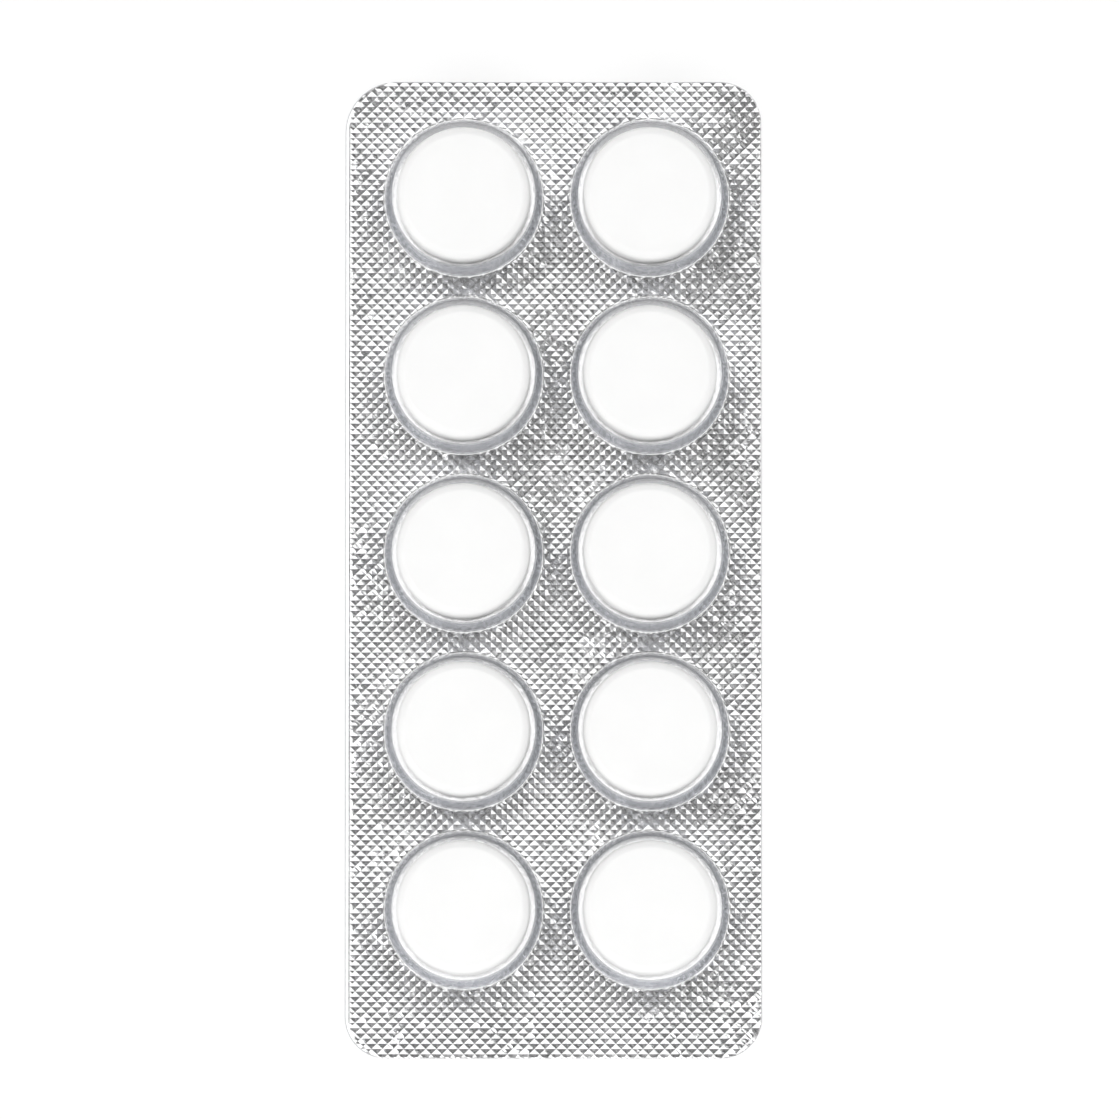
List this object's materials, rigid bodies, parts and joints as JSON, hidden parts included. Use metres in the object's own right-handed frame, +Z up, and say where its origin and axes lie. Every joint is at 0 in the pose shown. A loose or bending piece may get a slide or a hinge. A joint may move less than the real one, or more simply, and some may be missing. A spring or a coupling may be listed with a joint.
{
  "type": "pill blister pack",
  "caption": "Push-through blister pack: clear formed film with round pockets in two columns, knurl-sealed aluminium foil and white round tablets.",
  "frame": {"origin": "middle of the pack's outline on the underside of the foil, the face it lies on", "axes": "+X across the pack's width, +Y along its length towards the end whose pockets are nearer the edge, +Z up through the pockets"},
  "size_m": [0.0406, 0.0952, 0.005],
  "materials": {
    "clear_film": "gloss",
    "foil": "satin",
    "tablet": "matte"
  },
  "bodies": {
    "root": {"forming_film": "clear_film", "lidding_foil": "foil", "tablet_01": "tablet", "tablet_02": "tablet", "tablet_03": "tablet", "tablet_04": "tablet", "tablet_05": "tablet", "tablet_06": "tablet", "tablet_07": "tablet", "tablet_08": "tablet", "tablet_09": "tablet", "tablet_10": "tablet"}
  },
  "joints": []
}
